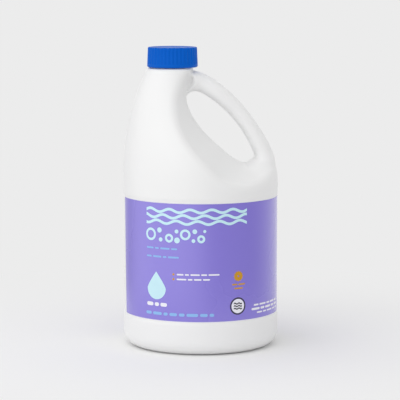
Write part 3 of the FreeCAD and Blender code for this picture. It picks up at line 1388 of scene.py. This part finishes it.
@dataclass
class Studio:
    """Pale floor, soft lights and the camera."""

    ground: Triple = (236, 236, 236)
    floor_tone: Triple = (241, 241, 241)
    bright_side: Triple = (-0.8, -0.55, 0.30)
    bright_start: float = -0.8
    room_bright: float = 1.03
    room_dark: float = 0.66
    panel_side: Triple = (-0.83, -0.56, 0.0)
    panel_start: float = 0.1
    mirror_dark: float = 0.12
    mirror_bright: float = 1.5
    back_side: Triple = (0.35, 0.94, 0.0)
    mirror_back: float = 0.8
    glow_full: float = 0.95
    floor_size: float = 60.0
    plain_from: float = 0.20
    plain_to: float = 0.42
    camera_place: Triple = (-0.43 * MM, -1750 * MM, 343.4 * MM)
    camera_tilt: float = 7.08
    lens: float = 181.44
    lamp_size: float = 1.5
    lamps: tuple[tuple[str, Triple, Triple, float], ...] = (
        ("key", (-1.2, -1.5, 1.1), (0.0, 0.0, 0.13), 4.0), ("top", (-0.3, -0.6, 1.8), (0.0, 0.0, 0.1), 3.0))

    def build(self) -> None:
        """Set up everything that isn't the jug."""
        bpy.context.scene.view_settings.view_transform = "Standard"
        self._camera()
        self._world()
        self._floor()
        for name, place, aim, power in self.lamps:
            self._lamp(name, place, aim, power)

    def _camera(self) -> None:
        """Place the camera where the photograph was taken from."""
        data = bpy.data.cameras.new("camera")
        data.sensor_width = 36.0
        data.lens = self.lens
        data.clip_end = 100.0
        camera = put("camera", data)
        camera.location = self.camera_place
        camera.rotation_euler = (math.radians(90 - self.camera_tilt), 0, 0)
        bpy.context.scene.camera = camera

    def _glow(self, tree: Tree, toward: Triple, start: float, low: float, high: float) -> Node:
        """Build a soft field of brightness round one direction of the room.

        Args:
            tree: The world's node tree.
            toward: The brightest direction.
            start: Cosine at which the field begins.
            low: Brightness away from the direction.
            high: Brightness in the direction.

        Returns:
            The node that puts out the brightness.
        """
        place = wire(tree, "ShaderNodeTexCoord").outputs["Generated"]
        aim = wire(tree, "ShaderNodeVectorMath", {0: place, 1: Vector(toward).normalized()},
                   operation="DOT_PRODUCT")
        return wire(tree, "ShaderNodeMapRange", {
            "Value": aim.outputs["Value"], "From Min": start, "From Max": self.glow_full, "To Min": low,
            "To Max": high}, interpolation_type="SMOOTHSTEP")

    def _world(self) -> None:
        """Light from all round, brighter on the left, and a plain background for the camera."""
        world = bpy.data.worlds.new("studio")
        world.use_nodes = True
        bpy.context.scene.world = world
        tree = world.node_tree
        tree.nodes.clear()
        path = wire(tree, "ShaderNodeLightPath").outputs
        seen = wire(tree, "ShaderNodeMath", {0: path["Is Camera Ray"], 1: path["Is Transmission Ray"]},
                    operation="MAXIMUM")
        soft = self._glow(tree, self.bright_side, self.bright_start, self.room_dark, self.room_bright)
        panel = self._glow(tree, self.panel_side, self.panel_start, self.mirror_dark, self.mirror_bright)
        back = self._glow(tree, self.back_side, self.panel_start, 0.0, self.mirror_back)
        mirror = wire(tree, "ShaderNodeMath", {0: panel, 1: back}, operation="ADD")
        choose = wire(tree, "ShaderNodeMix", {"Factor": path["Is Glossy Ray"], "A": soft, "B": mirror})
        room = wire(tree, "ShaderNodeBackground", {"Color": WHITE, "Strength": choose})
        plain = wire(tree, "ShaderNodeBackground", {"Color": linear(self.ground)})
        mix = wire(tree, "ShaderNodeMixShader", {"Fac": seen, 1: room, 2: plain})
        wire(tree, "ShaderNodeOutputWorld", {"Surface": mix})

    def _floor(self) -> None:
        """Lay the floor, which takes shadows near the jug and is plain further off."""
        floor = add(bpy.ops.mesh.primitive_plane_add, size=self.floor_size)
        floor.name = "floor"
        made = bpy.data.materials.new("floor_pale")
        made.use_nodes = True
        tree = made.node_tree
        shader = tree.nodes["Principled BSDF"]
        feed(tree, shader, {
            "Base Color": linear(self.floor_tone), "Roughness": 1.0, "Specular IOR Level": 0.0})
        place = wire(tree, "ShaderNodeTexCoord").outputs["Object"]
        reach = wire(tree, "ShaderNodeVectorMath", {0: place}, operation="LENGTH").outputs["Value"]
        fade = wire(tree, "ShaderNodeMapRange", {
            "Value": reach, "From Min": self.plain_from, "From Max": self.plain_to,
        }, interpolation_type="SMOOTHSTEP")
        plain = wire(tree, "ShaderNodeEmission", {"Color": linear(self.ground)})
        glossy = wire(tree, "ShaderNodeLightPath").outputs["Is Glossy Ray"]
        unseen = wire(tree, "ShaderNodeBsdfTransparent")
        far = wire(tree, "ShaderNodeMixShader", {"Fac": glossy, 1: plain, 2: unseen})
        mix = wire(tree, "ShaderNodeMixShader", {"Fac": fade, 1: shader, 2: far})
        feed(tree, tree.nodes["Material Output"], {"Surface": mix})
        wear(floor, made)

    def _lamp(self, name: str, place: Triple, aim: Triple, power: float) -> None:
        """Hang one soft lamp.

        Args:
            name: Its name.
            place: Where it hangs, in metres.
            aim: The point it shines at.
            power: Its power in watts.
        """
        data = bpy.data.lights.new(name, "AREA")
        data.size = self.lamp_size
        data.energy = power
        lamp = put(name, data)
        lamp.location = place
        lamp.rotation_euler = (Vector(aim) - Vector(place)).to_track_quat("-Z", "Y").to_euler()


def main() -> None:
    """Build the jug's looks round its frame."""
    logging.basicConfig(level=logging.INFO, format="%(message)s")
    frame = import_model()
    nodes = frame["nodes"]
    Studio().build()
    kit = ShaderKit()

    bottle_low, bottle_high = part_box("bottle")
    label_low, label_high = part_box("label")
    cap_low, cap_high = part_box("cap")
    liner_low, liner_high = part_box("liner")
    body_r = -bottle_low.x
    film_r = label_high.x
    cap_r = (cap_high.x - cap_low.x) / 2
    neck_x = (cap_low.x + cap_high.x) / 2

    jug = Jug(body_r=body_r, panel_r=body_r - PANEL_SINK, panel_low=label_low.z - PANEL_MARGIN,
              panel_high=label_high.z + PANEL_MARGIN, lip_z=liner_low.z, neck_x=neck_x)
    handle_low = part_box("handle")[0]
    cuts = [("z", bottle_high.z), ("z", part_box("neck")[0].z), ("x", handle_low.x), ("z", handle_low.z)]
    skin = jug.build([nodes["bottle"], nodes["shoulder"], nodes["handle"]], cuts)
    dress(skin, JUG_WHITE.material(kit), "bottle")
    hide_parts("bottle", "shoulder", "handle", "neck")

    screw_cap = ScrewCap(centre_x=neck_x, foot=cap_low.z, top=cap_high.z, seat=liner_low.z,
                         foot_r=cap_r, top_r=cap_r - CAP_TAPER).build()
    dress(screw_cap, CAP_BLUE.material(kit), "cap")
    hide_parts("cap")

    disc = Liner(liner_low, liner_high).build()
    dress(disc, LINER_FOAM.material(kit), "liner")
    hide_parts("liner")

    label = WrapLabel(inner_r=film_r - FILM_T, outer_r=film_r, low=label_low.z, high=label_high.z)
    film = label.build()
    dress(film, LABEL_FILM.material(kit), "bottle")
    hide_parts("label")
    for colour, ink in label.prints().items():
        dress(ink, INKS[colour].material(kit), "bottle")

    wear(nodes["bleach"], BLEACH_LIQUID.material(kit))


if __name__ == "__main__":
    main()
